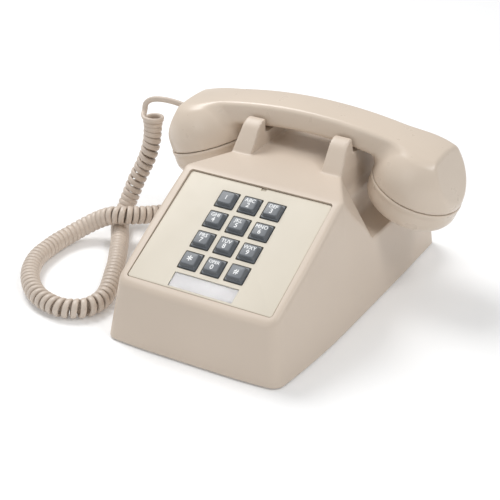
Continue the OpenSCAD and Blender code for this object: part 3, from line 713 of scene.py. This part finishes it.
def build_keys():
    for i, node in enumerate(KEY_NODES):
        u, v = key_place(i)
        key = key_shape("button_" + node[4:])
        stem = turned("stem", [(0, -13.5), (2.2, -13.5), (2.2, -3), (0, -3)], 32)
        carve(key, [stem], "UNION")
        key.data.transform(DIAL @ at(u, v, 0))
        finish_piece(smooth(key, 38), node, "keys", node)
        finish_piece(legend_piece(i), node, "keys", material="legend")


build_faceplate()
build_keys()

# ---- Handset -------------------------------------------------------------------------------------


def on_cap(p, side):
    """How far out from a cap's axis the points are, and how far up along it from the seam."""
    x = p[..., 0] - HAND_X - side * CAP_X
    y, z = p[..., 1] - HAND_Y, p[..., 2] - CAP_Z
    c, s = math.cos(CAP_TILT), math.sin(CAP_TILT)
    out, up = x * c - side * z * s, side * x * s + z * c
    return np.hypot(out, y), up


def handset_field(p):
    x, y, z = abs(p[..., 0] - HAND_X), p[..., 1] - HAND_Y, p[..., 2]
    top = np.hypot(x, z + y**2 / 260 - (HANDLE_TOP - TOP_ARC)) - TOP_ARC
    under = UNDER_ARC - np.hypot(x, z - (HANDLE_LOW - UNDER_ARC))
    bar = both(both(abs(y) - HANDLE_W / 2 - (HANDLE_TOP - 8 - z) * 0.02, under, 4), x - 104, 2)
    end_z = HANDLE_TOP - TOP_ARC + math.sqrt(TOP_ARC**2 - END_X**2)
    end = (x - END_X) * math.sin(END_SLOPE) + (z - end_z) * math.cos(END_SLOPE)
    bells = []
    for side in (-1, 1):
        out, up = on_cap(p, side)
        bells.append(np.hypot(out, np.maximum(up - BELL_BASE, 0)) - CAP_R)
    fillet = np.interp(y, [-15, -6, 6, 15], [5, 13, 13, 7])
    shape = either(bar, np.minimum(*bells), fillet)
    return both(both(shape, top, 3), end, 1.6)


def handset_solid(p):
    """The outer shape of the shell, cut off at the seams with its caps."""
    seam = np.where(p[..., 0] > HAND_X, -on_cap(p, 1)[1], -on_cap(p, -1)[1])
    near = abs(p[..., 0] - HAND_X) > 40
    shape = handset_field(p)
    return np.where(near, both(shape, seam, 0.45), shape)


def build_handset():
    low, high = (-116, 12, 62), (119, 86, 126)
    shell = field_mesh("handset_body", handset_solid, low, high, 1.0)
    hollow = field_mesh("hollow", lambda p: handset_field(p) + WALL, (low[0], low[1], 58), high, 1.7)
    jack_low, jack_high = (HAND_X - 118, HAND_Y - 6.3, 92.6), (HAND_X - 84.8, HAND_Y + 6.3, 103.4)
    jack_way = prism("jack_way", jack_low, jack_high, 0.6)
    carve(shell, [hollow])
    carve(shell, [jack_way])
    finish_piece(smooth(shell), "handset", "handset", "handset_shell")


def cap_profile():
    """Outer side from the middle out, round the lip, and back along the inner side."""
    outer = [(0, -CAP_H + 1.6), (8, -CAP_H + 1.5), (14, -CAP_H + 1.0), (18.5, -CAP_H + 0.3),
             (21, -CAP_H)]
    outer += arc((22.4, -9), (CAP_R - 22.4, CAP_H - 9), -90, 0, 12)
    lip = [(CAP_R + 0.05, -6), (CAP_R + 0.1, -3.4), (CAP_R + 0.4, -2.9), (CAP_R + 0.45, -1.1),
           (CAP_R + 0.25, -0.7), (CAP_R - 0.5, -0.55)]
    inner = [(CAP_R - 2.8, -0.5), (CAP_R - 3.2, -8)]
    inner += arc((22.4, -9), (CAP_R - 25.6, CAP_H - 12), 0, -90, 8)
    return outer + lip + inner + [(14, -CAP_H + 3.6), (0, -CAP_H + 4)]


def build_cap(name, side, node, rings):
    """A screwed-on cap with its ring, or rings, of sound holes."""
    cap = turned(name, cap_profile(), 128)
    holes = []
    for count in rings:
        for k in range(max(1, count)):
            a = 2 * math.pi * k / max(1, count)
            x, y = 0.9 * count * math.cos(a), 0.9 * count * math.sin(a)
            drill = [(0, -CAP_H - 2), (1.0, -CAP_H - 2), (1.0, -CAP_H + 6), (0, -CAP_H + 6)]
            holes.append(turned("hole", drill, 20, at(x, y, 0)))
    carve(cap, holes)
    cap.data.transform(at(HAND_X + side * CAP_X, HAND_Y, CAP_Z) @ Matrix.Rotation(side * CAP_TILT, 4, "Y"))
    finish_piece(smooth(cap, 40), "handset", "handset", node)


build_handset()
build_cap("ear_cap_shell", 1, "ear_cap", (0, 6))
build_cap("mouth_cap_shell", -1, "mouth_cap", (0, 6, 12))

# ---- Cradle buttons and feet --------------------------------------------------------------------

for side_name, side in (("left", -1), ("right", 1)):
    node = "cradle_button_" + side_name
    low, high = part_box(node)
    bottom, tip = low.z / MM, high.z / MM
    profile = [(0, bottom), (5.7, bottom), (6, bottom + 0.3), (6, bottom + 1.7), (5.7, bottom + 2),
               (4.3, bottom + 2.2), (4.3, tip - 1.4)]
    profile += arc((2.9, tip - 1.4), (1.4, 1.4), 0, 90, 5) + [(0, tip)]
    plunger = turned("plunger_" + side_name, profile, 48, at(side * BUTTON_X, HAND_Y, 0))
    finish_piece(smooth(plunger, 40), node, "button_plastic", node)


def build_feet():
    low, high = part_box("feet")
    shape = bmesh.new()
    top = high.z / MM
    profile = [(0, 0), (6.4, 0), (6.9, 0.15), (7.6, 1.1), (8, 1.5), (8, 2.1), (2.6, 2.2), (2.4, 3.0),
               (2.4, top - 0.4), (2.0, top), (0, top)]
    for x in (low.x + 0.008, high.x - 0.008):
        for y in (low.y + 0.008, high.y - 0.008):
            foot = turned("foot", profile, 48, Matrix.Translation((x, y, 0)))
            shape.from_mesh(foot.data)
            bpy.data.objects.remove(foot)
    mesh = bpy.data.meshes.new("rubber_feet")
    shape.to_mesh(mesh)
    shape.free()
    obj = bpy.data.objects.new("rubber_feet", mesh)
    scene.collection.objects.link(obj)
    finish_piece(smooth(obj, 40), "base", "rubber", "feet")


build_feet()

# ---- The pieces inside, which keep their CAD shapes ----------------------------------------------

INSIDE = {
    "zinc_steel": ["base_plate", "lever_bracket", "cradle_lever", "ringer_frame", "wheel_bracket",
                   "transmitter_unit"],
    "spring_steel": ["key_springs", "lever_spring", "lever_pin", "clapper"],
    "screws": ["housing_screws", "key_screws", "gong_screws", "board_screws"],
    "black_plastic": ["key_frame", "key_contacts", "hook_contacts", "volume_wheel", "network_parts",
                      "handset_jack_base", "line_jack", "handset_jack", "receiver_unit", "contact_cup"],
    "circuit_board": ["key_board", "network_board"],
    "gong_brass": ["gongs"],
    "copper": ["ringer_coil"],
    "magnet": ["ringer_magnet"],
    "clear_plastic": ["handset_plug", "base_plug"],
}

for slot, names in INSIDE.items():
    for name in names:
        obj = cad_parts[name]
        obj.data.materials.clear()
        obj.data.materials.append(MATERIALS[slot])
        soften = obj.modifiers.new("edges", "BEVEL")
        soften.width, soften.segments, soften.limit_method = 0.00015, 2, "ANGLE"

# ---- Floor and light -----------------------------------------------------------------------------


def build_stage():
    reach = 3000
    corners = [(-reach, -reach, 0), (reach, -reach, 0), (reach, reach, 0), (-reach, reach, 0)]
    floor = make_mesh("floor", corners, [[0, 1, 2, 3]])
    paint = plastic("floor_paint", (0.93, 0.935, 0.94), 0.7, change=0.004, polish=0.02,
                    Emission_Color=(1, 1, 1, 1), Emission_Strength=0.1)
    floor.data.materials.append(paint)
    world = bpy.data.worlds.new("studio")
    world.use_nodes = True
    world.node_tree.nodes["Background"].inputs["Color"].default_value = (1, 1, 1, 1)
    world.node_tree.nodes["Background"].inputs["Strength"].default_value = 0.42
    scene.world = world
    scene.view_settings.view_transform = "Standard"


def add_light(name, place, aim, size, power, colour=(1, 1, 1)):
    data = bpy.data.lights.new(name, "AREA")
    data.shape, data.size, data.energy, data.color = "DISK", size, power, colour
    lamp = bpy.data.objects.new(name, data)
    lamp.location = place
    lamp.rotation_euler = (Vector(place) - Vector(aim)).to_track_quat("Z", "Y").to_euler()
    scene.collection.objects.link(lamp)


build_stage()
add_light("key_light", (-0.75, 0.25, 1.25), (0, 0, 0.05), 0.75, 11.8)
add_light("front_light", (-0.3, -1.4, 0.8), (0, 0, 0.05), 0.9, 2.1)
add_light("side_light", (0.95, -0.15, 1.35), (0, 0, 0.08), 0.6, 7.0)
